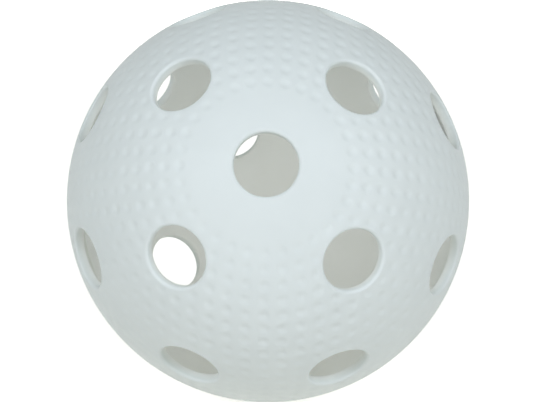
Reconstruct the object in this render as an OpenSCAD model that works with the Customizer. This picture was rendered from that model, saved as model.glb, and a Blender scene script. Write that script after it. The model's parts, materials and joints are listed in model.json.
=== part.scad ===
// Floorball ball: two moulded half shells with round holes, lapped and welded at the seam.
// The origin is the centre of the ball, +Z is up, and the ball lies on one hole of its rear half.

/* [Ball] */
// Outside diameter
ball_d = 72; // [60:1:90]
// Wall thickness
wall_t = 1.8; // [1.6:0.1:2.6]

/* [Holes] */
// Diameter of each hole
hole_d = 10.5; // [8:0.1:11]
// Bevel round the outside of each hole
rim_out = 0.3; // [0.2:0.05:0.6]
// Bevel round the inside of each hole
rim_in = 0.2; // [0.1:0.05:0.3]
// Number of holes in the ring nearer the pole
inner_ring_n = 4; // [3:1:5]
// Angle from the pole to that ring, in degrees
inner_ring_angle = 35; // [32:0.1:38]
// Number of holes in the ring nearer the seam
outer_ring_n = 8; // [6:1:9]
// Angle from the pole to that ring, in degrees
outer_ring_angle = 69; // [67:0.1:72]

/* [Seam] */
// Height of the spigot under the front half's rim
spigot_h = 1.6; // [1:0.1:2.4]
// Thickness of the spigot
spigot_t = 0.8; // [0.6:0.05:0.9]
// Gap between the spigot and the lip round it
lap_gap = 0.05; // [0.03:0.01:0.1]
// Thickness of the weld between the spigot and the socket's floor
weld_t = 0.4; // [0.2:0.05:0.6]
// Radius of the weld bead that stands inside the wall
bead_r = 0.6; // [0.4:0.05:0.8]
// Depth of the V groove round the outside of the seam
seam_v = 0.2; // [0.1:0.05:0.3]

/* [Hidden] */

// How far a cut runs past the face it goes through, and the spigot into the wall above it
over = 1;
// Fineness of the sphere and of the holes
shell_fn = 144;
hole_fn = 64;

ball_r = ball_d / 2;
cavity_r = ball_r - wall_t;
hole_r = hole_d / 2;

// Heights along a hole's own axis, from the ball's centre
rim_top = sqrt(pow(ball_r, 2) - pow(hole_r + rim_out, 2));
bore_top = rim_top - rim_out;
rim_bottom = sqrt(pow(cavity_r, 2) - pow(hole_r + rim_in, 2));
bore_bottom = rim_bottom + rim_in;

// Depth of the socket in the rear half's rim
socket_h = spigot_h + weld_t;

// The rear half has a hole on the side that the ball lies on, and the front half
// is turned half a pitch from it, so the two rings interleave across the seam
half_pitch = 180 / outer_ring_n;
rear_turn = half_pitch - 90;
front_turn = rear_turn + half_pitch;

// Section of a quarter of the wall, from the seam to the pole, with its side of the V groove
module wall_section() {
    difference() {
        intersection() {
            difference() {
                circle(r = ball_r, $fn = shell_fn);
                circle(r = cavity_r, $fn = shell_fn);
            }
            square(ball_r);
        }
        polygon([
            [ball_r - seam_v - over, -over],
            [ball_r + over, seam_v + over],
            [ball_r + over, -over]
        ]);
    }
}

// One hole along +Z, with a bevel where it leaves each face of the wall
module hole() {
    rotate_extrude($fn = hole_fn)
        polygon([
            [0, rim_bottom - over],
            [hole_r + rim_in + over, rim_bottom - over],
            [hole_r, bore_bottom],
            [hole_r, bore_top],
            [hole_r + rim_out + over, rim_top + over],
            [0, rim_top + over]
        ]);
}

// All holes of one half whose pole is +Z
module half_holes() {
    hole();
    for (i = [0 : inner_ring_n - 1])
        rotate([0, inner_ring_angle, i * 360 / inner_ring_n])
            hole();
    for (i = [0 : outer_ring_n - 1])
        rotate([0, outer_ring_angle, (2 * i + 1) * half_pitch])
            hole();
}

// Turns a wall about its pole, so that the line where its section starts lies clear of every hole
module clear_of_holes() {
    rotate([0, 0, half_pitch / 2])
        children();
}

// Tips the ball over from its pole axis on to the hole that it lies on
module at_rest() {
    rotate([outer_ring_angle, 0, 0])
        children();
}

module front_half_shell() {
    color("gainsboro")
        at_rest()
            difference() {
                clear_of_holes()
                    rotate_extrude($fn = shell_fn) {
                        wall_section();
                        translate([cavity_r, -spigot_h])
                            square([spigot_t, spigot_h + over]);
                    }
                rotate([0, 0, front_turn])
                    half_holes();
            }
}

module rear_half_shell() {
    color("lightgray")
        at_rest()
            rotate([180, 0, rear_turn])
                difference() {
                    clear_of_holes()
                        rotate_extrude($fn = shell_fn)
                            difference() {
                                wall_section();
                                translate([cavity_r - over, -over])
                                    square([over + spigot_t + lap_gap, over + socket_h]);
                            }
                    half_holes();
                }
}

module weld_bead() {
    color("whitesmoke")
        at_rest()
            rotate_extrude($fn = shell_fn) {
                translate([cavity_r - bead_r / 2, -socket_h])
                    square([bead_r / 2 + spigot_t, weld_t]);
                intersection() {
                    circle(r = cavity_r, $fn = shell_fn);
                    translate([cavity_r, weld_t / 2 - socket_h])
                        circle(r = bead_r, $fn = hole_fn);
                }
            }
}

front_half_shell();
rear_half_shell();
weld_bead();
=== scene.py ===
"""Floorball ball, dressed: two dimpled half shells and the weld bead that joins them."""
import json
import math

import bmesh
import bpy
from mathutils import Matrix, Vector


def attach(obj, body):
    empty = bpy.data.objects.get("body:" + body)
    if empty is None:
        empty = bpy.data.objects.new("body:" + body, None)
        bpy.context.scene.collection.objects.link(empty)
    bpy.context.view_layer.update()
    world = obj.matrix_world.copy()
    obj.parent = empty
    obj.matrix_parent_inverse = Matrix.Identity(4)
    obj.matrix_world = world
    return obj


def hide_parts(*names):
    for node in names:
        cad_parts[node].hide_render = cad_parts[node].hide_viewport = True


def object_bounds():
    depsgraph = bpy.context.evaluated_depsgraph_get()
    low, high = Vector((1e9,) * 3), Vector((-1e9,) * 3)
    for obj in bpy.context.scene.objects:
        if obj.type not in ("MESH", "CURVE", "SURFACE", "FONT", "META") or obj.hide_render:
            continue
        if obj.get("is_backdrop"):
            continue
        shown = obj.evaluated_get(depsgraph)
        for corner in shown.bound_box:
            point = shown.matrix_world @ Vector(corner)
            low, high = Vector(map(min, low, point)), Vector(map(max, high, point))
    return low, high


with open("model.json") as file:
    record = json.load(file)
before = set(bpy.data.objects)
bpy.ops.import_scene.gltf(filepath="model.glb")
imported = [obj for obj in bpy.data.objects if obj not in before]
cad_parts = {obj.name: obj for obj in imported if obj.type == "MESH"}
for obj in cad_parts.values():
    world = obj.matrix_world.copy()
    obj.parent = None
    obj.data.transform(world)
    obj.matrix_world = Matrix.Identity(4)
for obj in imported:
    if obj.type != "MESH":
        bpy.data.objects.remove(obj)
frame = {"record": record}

MM = 0.001
TURN = 2 * math.pi

cad_low, cad_high = (Vector(corner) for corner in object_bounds())
holes = {mount["name"]: mount for mount in frame["record"]["mounts"]}

# Shell, hole and seam sizes, as in the solids; the ball stays a hair inside their box
BOX_MARGIN = 0.01 * MM
BALL_R = (cad_high.x - cad_low.x) / 2 - BOX_MARGIN
WALL = 1.8 * MM
CAVITY_R = BALL_R - WALL
HOLE_R = holes["rest_hole"]["dims"]["r_mm"] * MM
RIM_IN = 0.2 * MM
SPIGOT_H = 1.6 * MM
SPIGOT_T = 0.8 * MM
LAP_GAP = 0.05 * MM
WELD_T = 0.4 * MM
BEAD_R = 0.6 * MM
SEAM_V = 0.2 * MM
SOCKET_H = SPIGOT_H + WELD_T
# Round on the outer edge of a hole, softer than the bevel of the solids
RIM_OUT = 0.5 * MM

# Dimples stand in rings round the pole, and each ring has four more than the one before
DIMPLE_R = 1.2 * MM
DIMPLE_DEPTH = 0.18 * MM
DIMPLE_RINGS = 15
FIRST_RING = math.radians(23.0)
RING_PITCH = math.radians(4.45)
FIRST_COUNT = 32
COUNT_STEP = 4
# A dimple of every ring stands on the line midway between two inner holes
DIMPLE_LINE = math.radians(45)
# Band round each hole in which the dimples run out
RIM_FADE = 0.5 * MM

# Fineness of the skins, and the bands left free round the holes and the seam for joining them up
OUTER_ROWS = 134
OUTER_COLUMNS = 480
INNER_ROWS = 60
INNER_COLUMNS = 192
COLLAR = 0.6 * MM
SEAM_COLLAR = 1.0 * MM
RIM_STEPS = 7
SHARP_ANGLE = math.radians(40)
# Points closer than this are one point
SAME_POINT = 0.001 * MM
# Cosine over which a hole's axis is the pole itself
AT_POLE = 0.99

# Camera, from the outline and the holes in the photograph, in its 536 x 402 frame
IMAGE_WIDTH = 536
BALL_RADIUS_PX = 201.2
CAMERA_DISTANCE = 8.69 * BALL_R
CAMERA_AZIMUTH = math.radians(0.67)
CAMERA_ELEVATION = math.radians(11.45)
CAMERA_ROLL = math.radians(0.92)
SENSOR_MM = 36.0
NEAREST_SEEN = 0.01


def hole_axis(name):
    return Vector(holes[name]["axis"]).normalized()


def mould_frame(half):
    """The turn from a half's own mould, pole up and first inner hole on +X, to its place."""
    pole = hole_axis(half + "_pole_hole")
    first = hole_axis(half + "_inner_hole_1")
    across = (first - pole * first.dot(pole)).normalized()
    return Matrix((across, pole.cross(across), pole)).transposed()


def ring_axes(half, mould):
    """Axes of a half's holes other than the pole hole, in the mould's own frame."""
    pole = hole_axis(half + "_pole_hole")
    axes = [hole_axis(name) for name in holes]
    return [mould.inverted() @ axis for axis in axes if 0 < axis.dot(pole) < AT_POLE]


# Hole rim: a round from the outer skin into the bore, and a smaller one out to the inner skin
def rim_profile():
    """(radius, height along the hole's axis) from the outer skin to the inner skin."""
    points = []
    centre_r = HOLE_R + RIM_OUT
    centre_h = math.sqrt((BALL_R - RIM_OUT) ** 2 - centre_r ** 2)
    lean = math.atan2(centre_r, centre_h)
    for i in range(RIM_STEPS + 1):
        angle = lean - (lean + math.pi / 2) * i / RIM_STEPS
        points.append((centre_r + RIM_OUT * math.sin(angle), centre_h + RIM_OUT * math.cos(angle)))
    centre_r = HOLE_R + RIM_IN
    centre_h = math.sqrt((CAVITY_R + RIM_IN) ** 2 - centre_r ** 2)
    lean = math.atan2(centre_r, centre_h)
    for i in range(RIM_STEPS + 1):
        angle = -math.pi / 2 - (math.pi / 2 - lean) * i / RIM_STEPS
        points.append((centre_r + RIM_IN * math.sin(angle), centre_h + RIM_IN * math.cos(angle)))
    return points


RIM = rim_profile()
RIM_EDGE = RIM[0][0]
INNER_EDGE = RIM[-1][0] + COLLAR
MOULD_POLE = Vector((0, 0, 1))


def wrap_skin(bm, radius, start, stop, rows, columns):
    """A band of the ball between two angles from the pole: a grid wrapped round the pole."""
    skin = bmesh.ops.create_grid(bm, x_segments=columns, y_segments=rows, size=0.5)["verts"]
    ends = [v for v in skin if abs(v.co.x) > 0.5 - 0.5 / columns]
    for v in skin:
        turn = TURN * (v.co.x + 0.5)
        polar = start + (stop - start) * (v.co.y + 0.5)
        flat = radius * math.sin(polar)
        v.co = flat * math.cos(turn), flat * math.sin(turn), radius * math.cos(polar)
    bmesh.ops.remove_doubles(bm, verts=ends, dist=SAME_POINT)
    return [v for v in skin if v.is_valid]


def edge_loop(verts, top):
    """The open edge of a wrapped skin, at its top or its bottom."""
    rim = [v for v in verts if v.is_valid and v.is_boundary]
    level = max(v.co.z for v in rim) if top else min(v.co.z for v in rim)
    ends = {v for v in rim if abs(v.co.z - level) < SAME_POINT}
    return list({e for v in ends for e in v.link_edges if e.is_boundary})


def on_circle(point, axis, radius, height):
    """The point moved to a circle round an axis through the ball's centre."""
    out = (point - axis * point.dot(axis)).normalized()
    return axis * height + out * radius


def open_hole(bm, skin, axis, radius, edge):
    """Cuts a round opening into a skin and returns its edge loop, drawn to a true circle."""
    near = []
    for v in skin:
        along = v.co.dot(axis) if v.is_valid else -1
        if along > 0 and v.co.length_squared - along ** 2 < edge ** 2:
            near.append(v)
    ring = {w for v in near for f in v.link_faces for w in f.verts} - set(near)
    bmesh.ops.delete(bm, geom=near, context="VERTS")
    height = math.sqrt(radius ** 2 - edge ** 2)
    for v in ring:
        v.co = on_circle(v.co, axis, edge, height)
    return list({e for v in ring for e in v.link_edges if e.is_boundary})


def dimple_depth(point):
    """How deep the dimples press the skin at a point of the outer sphere."""
    polar = math.acos(max(-1, min(1, point.z / point.length)))
    ring = max(0, min(DIMPLE_RINGS - 1, round((polar - FIRST_RING) / RING_PITCH)))
    ring_polar = FIRST_RING + RING_PITCH * ring
    step = TURN / (FIRST_COUNT + COUNT_STEP * ring)
    turn = math.atan2(point.y, point.x) - DIMPLE_LINE
    aside = (turn - step * round(turn / step)) * math.sin(ring_polar)
    away = BALL_R * math.hypot(polar - ring_polar, aside) / DIMPLE_R
    return DIMPLE_DEPTH * max(0, 1 - away ** 2) ** 2


def press_dimples(skin, axes):
    """Presses the dimples into a skin, and lets them run out towards each hole."""
    for v in skin:
        if not v.is_valid:
            continue
        depth = dimple_depth(v.co)
        if depth == 0:
            continue
        for axis in axes:
            along = v.co.dot(axis)
            if along > 0:
                gap = math.sqrt(max(0, v.co.length_squared - along ** 2)) - RIM_EDGE
                part = max(0, min(1, gap / RIM_FADE))
                depth *= part * part * (3 - 2 * part)
        v.co *= 1 - depth / BALL_R


def nearest(point, axes):
    return max(axes, key=point.dot)


def sweep_loops(bm, loops, axes, profile):
    """Extrudes edge loops, each round the axis it is nearest to, through circles (radius, height)."""
    edges = [edge for loop in loops for edge in loop]
    for radius, height in profile:
        made = bmesh.ops.extrude_edge_only(bm, edges=edges)["geom"]
        fresh = {g for g in made if isinstance(g, bmesh.types.BMVert)}
        for v in fresh:
            v.co = on_circle(v.co, nearest(v.co, axes), radius, height)
        edges = [g for g in made if isinstance(g, bmesh.types.BMEdge) and set(g.verts) <= fresh]
    return [[e for e in edges if nearest(e.verts[0].co, axes) is axis] for axis in axes]


def finish_mesh(bm, name, place):
    """Closes a piece: normals out, smooth faces with sharp corners, set in its place."""
    bmesh.ops.recalc_face_normals(bm, faces=bm.faces)
    bmesh.ops.transform(bm, matrix=place.to_4x4(), verts=bm.verts)
    for face in bm.faces:
        face.smooth = True
    mesh = bpy.data.meshes.new(name)
    bm.to_mesh(mesh)
    bm.free()
    mesh.set_sharp_from_angle(angle=SHARP_ANGLE)
    piece = bpy.data.objects.new(name, mesh)
    bpy.context.scene.collection.objects.link(piece)
    return piece


def half_shell(half, seam_profile, seam_top):
    """One moulded half: dimpled outer skin, rounded holes, seam edge and inner skin."""
    mould = mould_frame(half)
    pole = MOULD_POLE
    sides = ring_axes(half, mould)
    axes = [pole] + sides
    bm = bmesh.new()

    start = math.asin(RIM_EDGE / BALL_R)
    stop = math.acos(SEAM_V / BALL_R)
    skin = wrap_skin(bm, BALL_R, start, stop, OUTER_ROWS, OUTER_COLUMNS)
    mouths = [edge_loop(skin, top=True)]
    seam = edge_loop(skin, top=False)
    mouths += [open_hole(bm, skin, axis, BALL_R, RIM_EDGE) for axis in sides]
    press_dimples(skin, sides)
    throats = sweep_loops(bm, mouths, axes, RIM[1:])
    joint = sweep_loops(bm, [seam], [pole], seam_profile)[0]

    start = math.asin(INNER_EDGE / CAVITY_R)
    stop = math.acos((seam_top + SEAM_COLLAR) / CAVITY_R)
    lining = wrap_skin(bm, CAVITY_R, start, stop, INNER_ROWS, INNER_COLUMNS)
    inner_loops = [edge_loop(lining, top=True)]
    inner_seam = edge_loop(lining, top=False)
    inner_loops += [open_hole(bm, lining, axis, CAVITY_R, INNER_EDGE) for axis in sides]
    for throat, inner in zip(throats, inner_loops):
        bmesh.ops.bridge_loops(bm, edges=throat + inner)
    bmesh.ops.bridge_loops(bm, edges=joint + inner_seam)
    return finish_mesh(bm, half + "_shell", mould)


# Seam edges as (radius, height) from the V groove to the inside
spigot_r = CAVITY_R + SPIGOT_T
lip_r = spigot_r + LAP_GAP
floor_r = math.sqrt(CAVITY_R ** 2 - SOCKET_H ** 2)
spigot_seam = [(BALL_R - SEAM_V, 0), (spigot_r, 0), (spigot_r, -SPIGOT_H), (CAVITY_R, -SPIGOT_H)]
socket_seam = [(BALL_R - SEAM_V, 0), (lip_r, 0), (lip_r, SOCKET_H), (floor_r, SOCKET_H)]
front_shell = half_shell("front", spigot_seam, 0)
rear_shell = half_shell("rear", socket_seam, SOCKET_H)


# Weld bead: the melted strip under the spigot, rolled out into the cavity
BEAD_STEPS = 12
BEAD_COLUMNS = 288
# How far the bead waves in and out, where the wave starts, and its turns round the ring with their offsets
BEAD_WAVE = 0.08 * MM
BEAD_ROOT = 0.1 * MM
BEAD_RIPPLES = ((23, 0.0), (37, 1.3), (61, 0.4))
# The bead stays this far off the lining
BEAD_CLEAR = 0.01 * MM


def weld_bead():
    """The weld: a strip between spigot and socket floor with a round bead, spun about the pole."""
    mould = mould_frame("front")
    middle = WELD_T / 2 - SOCKET_H
    section = [(spigot_r, -SOCKET_H), (spigot_r, -SPIGOT_H), (CAVITY_R, -SPIGOT_H)]
    for i in range(BEAD_STEPS + 1):
        angle = math.pi / 2 + math.pi * i / BEAD_STEPS
        z = middle + BEAD_R * math.sin(angle)
        wall = math.sqrt(CAVITY_R ** 2 - z ** 2) - BEAD_CLEAR
        section.append((min(wall, CAVITY_R + BEAD_R * math.cos(angle)), z))
    section.append((floor_r, -SOCKET_H))
    bm = bmesh.new()
    verts = [bm.verts.new((r, 0, z)) for r, z in section]
    edges = [bm.edges.new((verts[i - 1], verts[i])) for i in range(len(verts))]
    bmesh.ops.spin(
        bm,
        geom=verts + edges,
        axis=MOULD_POLE,
        cent=(0, 0, 0),
        angle=TURN,
        steps=BEAD_COLUMNS,
        use_merge=True,
    )
    for v in bm.verts:
        inward = CAVITY_R - math.hypot(v.co.x, v.co.y)
        if inward > BEAD_ROOT:
            turn = math.atan2(v.co.y, v.co.x)
            wave = sum(math.sin(count * turn + offset) for count, offset in BEAD_RIPPLES) / len(BEAD_RIPPLES)
            part = inward / BEAD_R * wave
            v.co = on_circle(v.co, MOULD_POLE, CAVITY_R - inward + BEAD_WAVE * part, v.co.z)
    return finish_mesh(bm, "weld_ring", mould)


weld_ring = weld_bead()


# Finishes, all of them white polyethylene
# How much of the light comes through the wall, seen from inside and from outside, and how deep it goes
LINING_GLOW = 0.9
SKIN_GLOW = 0.12
GLOW_DEPTH = 22 * MM
GLOW_TINT = (1.0, 0.97, 0.9)
# Depth behind the lining in which the glow changes to that of the skin
LINING_START = 0.05 * MM
LINING_STOP = 0.4 * MM
SKIN_PALE = (0.86, 0.90, 0.90)
SKIN_DEEP = (0.84, 0.88, 0.88)
# Lining colour: the same plastic painted paler and warmer than the skin, painted light standing for the
# light that comes through the wall and round the hollow
PAINTED_PALE_LINING = (0.955, 0.96, 0.94)
WHITE = (1.0, 1.0, 1.0)
PLASTIC_IOR = 1.5
SHEEN = 0.12
WELD_SHEEN = 0.2
# Roughness of the moulded skins and of the remelted weld, least and most
SKIN_ROUGHNESS = (0.40, 0.52)
WELD_ROUGHNESS = (0.30, 0.36)
# Sizes of the noise, as spots to a metre, and the part of its range that is used
CLOUDS = 110
ROUGH_SPOTS = 700
GRAIN = 2600
NOISE_DETAIL = 2
NOISE_RANGE = (0.3, 0.7)
GRAIN_STRENGTH = 0.15
GRAIN_HEIGHT = 0.02 * MM
# Places of the colour sockets on a Mix node, after those for values and vectors
MIX_FIRST = 6
MIX_SECOND = 7
MIX_RESULT = 2


def new_material(name):
    material = bpy.data.materials.new(name)
    material.use_nodes = True
    nodes = material.node_tree.nodes
    return material, nodes, material.node_tree.links, nodes["Principled BSDF"]


def noise(nodes, links, place, scale):
    texture = nodes.new("ShaderNodeTexNoise")
    texture.inputs["Scale"].default_value = scale
    texture.inputs["Detail"].default_value = NOISE_DETAIL
    links.new(place, texture.inputs["Vector"])
    return texture.outputs["Fac"]


def remap(nodes, links, value, span, to_span):
    """A value carried over from one span to another; the ends of a span are numbers or links."""
    node = nodes.new("ShaderNodeMapRange")
    names = ("From Min", "From Max", "To Min", "To Max")
    for name, number in zip(names, (*span, *to_span)):
        if isinstance(number, bpy.types.NodeSocket):
            links.new(number, node.inputs[name])
        else:
            node.inputs[name].default_value = number
    links.new(value, node.inputs["Value"])
    return node.outputs["Result"]


def mix_colour(nodes, links, factor, first, second):
    node = nodes.new("ShaderNodeMix")
    node.data_type = "RGBA"
    links.new(factor, node.inputs["Factor"])
    for socket, colour in ((node.inputs[MIX_FIRST], first), (node.inputs[MIX_SECOND], second)):
        if isinstance(colour, tuple):
            socket.default_value = (*colour, 1)
        else:
            links.new(colour, socket)
    return node.outputs[MIX_RESULT]


def from_centre(nodes, links, place):
    """Distance of a point from the ball's centre."""
    node = nodes.new("ShaderNodeVectorMath")
    node.operation = "LENGTH"
    links.new(place, node.inputs[0])
    return node.outputs["Value"]


def from_lap(nodes, links, place):
    """Distance of a point from the middle of the lap at the seam, along the ball's pole axis."""
    height = nodes.new("ShaderNodeVectorMath")
    height.operation = "DOT_PRODUCT"
    height.inputs[1].default_value = hole_axis("front_pole_hole")
    links.new(place, height.inputs[0])
    away = nodes.new("ShaderNodeMath")
    away.operation = "ADD"
    away.inputs[1].default_value = SOCKET_H / 2
    links.new(height.outputs["Value"], away.inputs[0])
    size = nodes.new("ShaderNodeMath")
    size.operation = "ABSOLUTE"
    links.new(away.outputs[0], size.inputs[0])
    return size.outputs[0]


def moulded_polyethylene(name):
    """Satin, slightly see-through plastic: faint clouds, a fine grain, and inside a lining colour painted
    paler and warmer than the skin, as painted light for the bright hollow.
    """
    material, nodes, links, shader = new_material(name)
    place = nodes.new("ShaderNodeTexCoord").outputs["Object"]
    radius = from_centre(nodes, links, place)

    clouds = remap(nodes, links, noise(nodes, links, place, CLOUDS), NOISE_RANGE, (0, 1))
    skin = mix_colour(nodes, links, clouds, SKIN_PALE, SKIN_DEEP)
    # Painted light: the inside of the wall, and the bore towards it, takes the paler, warmer lining colour
    through = remap(nodes, links, radius, (CAVITY_R, BALL_R - RIM_OUT), (0, 1))
    links.new(mix_colour(nodes, links, through, PAINTED_PALE_LINING, skin), shader.inputs["Base Color"])

    rough = noise(nodes, links, place, ROUGH_SPOTS)
    links.new(remap(nodes, links, rough, NOISE_RANGE, SKIN_ROUGHNESS), shader.inputs["Roughness"])
    bump = nodes.new("ShaderNodeBump")
    bump.inputs["Strength"].default_value = GRAIN_STRENGTH
    bump.inputs["Distance"].default_value = GRAIN_HEIGHT
    links.new(noise(nodes, links, place, GRAIN), bump.inputs["Height"])
    links.new(bump.outputs["Normal"], shader.inputs["Normal"])
    shader.inputs["IOR"].default_value = PLASTIC_IOR
    shader.inputs["Specular IOR Level"].default_value = SHEEN

    # The wall is double at the lap, so no light comes through there
    lap = from_lap(nodes, links, place)
    lining_glow = remap(nodes, links, lap, (SOCKET_H / 2, SOCKET_H), (0, LINING_GLOW))
    depths = (CAVITY_R + LINING_START, CAVITY_R + LINING_STOP)
    glow = remap(nodes, links, radius, depths, (lining_glow, SKIN_GLOW))
    links.new(glow, shader.inputs["Subsurface Weight"])
    shader.inputs["Subsurface Radius"].default_value = GLOW_TINT
    shader.inputs["Subsurface Scale"].default_value = GLOW_DEPTH
    return material


def remelted_polyethylene(name):
    """The same plastic after welding: smooth, without grain, and a little glossier."""
    material, nodes, links, shader = new_material(name)
    place = nodes.new("ShaderNodeTexCoord").outputs["Object"]
    # Painted light: the weld takes the lining colour, painted paler and warmer than the skin for the light
    # inside the hollow
    shader.inputs["Base Color"].default_value = (*PAINTED_PALE_LINING, 1)
    rough = noise(nodes, links, place, ROUGH_SPOTS)
    links.new(remap(nodes, links, rough, NOISE_RANGE, WELD_ROUGHNESS), shader.inputs["Roughness"])
    shader.inputs["IOR"].default_value = PLASTIC_IOR
    shader.inputs["Specular IOR Level"].default_value = WELD_SHEEN
    return material


for piece, node, slot, finish in (
    (front_shell, "front_half_shell", "front_shell", moulded_polyethylene),
    (rear_shell, "rear_half_shell", "rear_shell", moulded_polyethylene),
    (weld_ring, "weld_bead", "weld", remelted_polyethylene),
):
    piece.data.materials.append(finish(piece.name + "_plastic"))
    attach(piece, "root")
    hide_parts(node)


# Studio: a white floor, an even white room, three softboxes in front and one low behind
# The floor glows a little by itself, and more where it is seen, so that it is white but keeps the shadow
FLOOR_SIZE = 6.0
FLOOR_ROUGHNESS = 0.9
FLOOR_COLOUR = (0.79, 0.765, 0.715)
FLOOR_GLOW = 0.085
FLOOR_SEEN = 0.69
ROOM_LIGHT = 0.205
ROOM_TINT = (0.90, 1.0, 0.91)
SOFTBOX_DISTANCE = 0.9
FRONT_TINT = (0.88, 0.93, 1.0)
BACK_TINT = (0.98, 1.0, 0.96)
# Light goes to and fro many times inside the white hollow
MAX_BOUNCES = 24
DIFFUSE_BOUNCES = 16
# Name, azimuth and elevation in degrees, width in metres, watts, tint and whether it shows in the gloss
SOFTBOXES = (
    ("key_softbox", 0, 35, 0.5, 1.3, FRONT_TINT, True),
    ("left_softbox", -42, 25, 0.5, 2.5, FRONT_TINT, True),
    ("right_softbox", 43, 26, 0.5, 2.68, FRONT_TINT, True),
    ("back_softbox", 180, 9, 0.25, 2.05, BACK_TINT, False),
)


def seen_directly(nodes, links):
    """1 for what the camera sees straight, in a reflection or through a clear piece."""
    path = nodes.new("ShaderNodeLightPath")
    total = path.outputs["Is Camera Ray"]
    for name in ("Is Glossy Ray", "Is Transmission Ray"):
        node = nodes.new("ShaderNodeMath")
        node.operation = "MAXIMUM"
        links.new(total, node.inputs[0])
        links.new(path.outputs[name], node.inputs[1])
        total = node.outputs[0]
    return total


def white_floor():
    bm = bmesh.new()
    bmesh.ops.create_grid(bm, x_segments=1, y_segments=1, size=FLOOR_SIZE / 2)
    bmesh.ops.translate(bm, vec=(0, 0, cad_low.z), verts=bm.verts)
    mesh = bpy.data.meshes.new("floor")
    bm.to_mesh(mesh)
    bm.free()
    floor = bpy.data.objects.new("floor", mesh)
    bpy.context.scene.collection.objects.link(floor)
    material, nodes, links, shader = new_material("white_floor")
    shader.inputs["Base Color"].default_value = (*FLOOR_COLOUR, 1)
    shader.inputs["Roughness"].default_value = FLOOR_ROUGHNESS
    shader.inputs["Specular IOR Level"].default_value = 0.0
    shader.inputs["Emission Color"].default_value = (*WHITE, 1)
    strength = remap(nodes, links, seen_directly(nodes, links), (0, 1), (FLOOR_GLOW, FLOOR_SEEN))
    links.new(strength, shader.inputs["Emission Strength"])
    mesh.materials.append(material)
    floor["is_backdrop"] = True


def white_room():
    world = bpy.data.worlds.new("white_room")
    bpy.context.scene.world = world
    world.use_nodes = True
    nodes = world.node_tree.nodes
    links = world.node_tree.links
    background = nodes["Background"]
    factor = seen_directly(nodes, links)
    links.new(mix_colour(nodes, links, factor, ROOM_TINT, WHITE), background.inputs["Color"])
    links.new(remap(nodes, links, factor, (0, 1), (ROOM_LIGHT, 1)), background.inputs["Strength"])


def aim(location, roll=0.0):
    """Rotation of a lamp or camera that looks at the ball's centre."""
    level = Vector(location).to_track_quat("Z", "Y").to_matrix()
    return (level @ Matrix.Rotation(roll, 3, "Z")).to_euler()


def around(azimuth, elevation, distance):
    """A place round the ball: azimuth from the front to the right, elevation from the floor up."""
    flat = math.cos(elevation)
    return Vector((math.sin(azimuth) * flat, -math.cos(azimuth) * flat, math.sin(elevation))) * distance


def soft_light(name, place, power, size, tint, glint):
    lamp = bpy.data.lights.new(name, "AREA")
    lamp.shape = "DISK"
    lamp.size = size
    lamp.energy = power
    lamp.color = tint
    light = bpy.data.objects.new(name, lamp)
    light.location = place
    light.rotation_euler = aim(place)
    light.visible_glossy = glint
    bpy.context.scene.collection.objects.link(light)


def photo_camera():
    camera = bpy.data.cameras.new("photo_camera")
    focal_px = BALL_RADIUS_PX * math.sqrt((CAMERA_DISTANCE / BALL_R) ** 2 - 1)
    camera.sensor_fit = "HORIZONTAL"
    camera.sensor_width = SENSOR_MM
    camera.lens = SENSOR_MM * focal_px / IMAGE_WIDTH
    camera.clip_start = NEAREST_SEEN
    view = bpy.data.objects.new("photo_camera", camera)
    view.location = around(CAMERA_AZIMUTH, CAMERA_ELEVATION, CAMERA_DISTANCE)
    view.rotation_euler = aim(view.location, CAMERA_ROLL)
    bpy.context.scene.collection.objects.link(view)
    bpy.context.scene.camera = view


white_floor()
white_room()
for name, azimuth, elevation, width, power, tint, glint in SOFTBOXES:
    place = around(math.radians(azimuth), math.radians(elevation), SOFTBOX_DISTANCE)
    soft_light(name, place, power, width, tint, glint)
photo_camera()
bpy.context.scene.view_settings.view_transform = "Standard"
bpy.context.scene.cycles.max_bounces = MAX_BOUNCES
bpy.context.scene.cycles.diffuse_bounces = DIFFUSE_BOUNCES
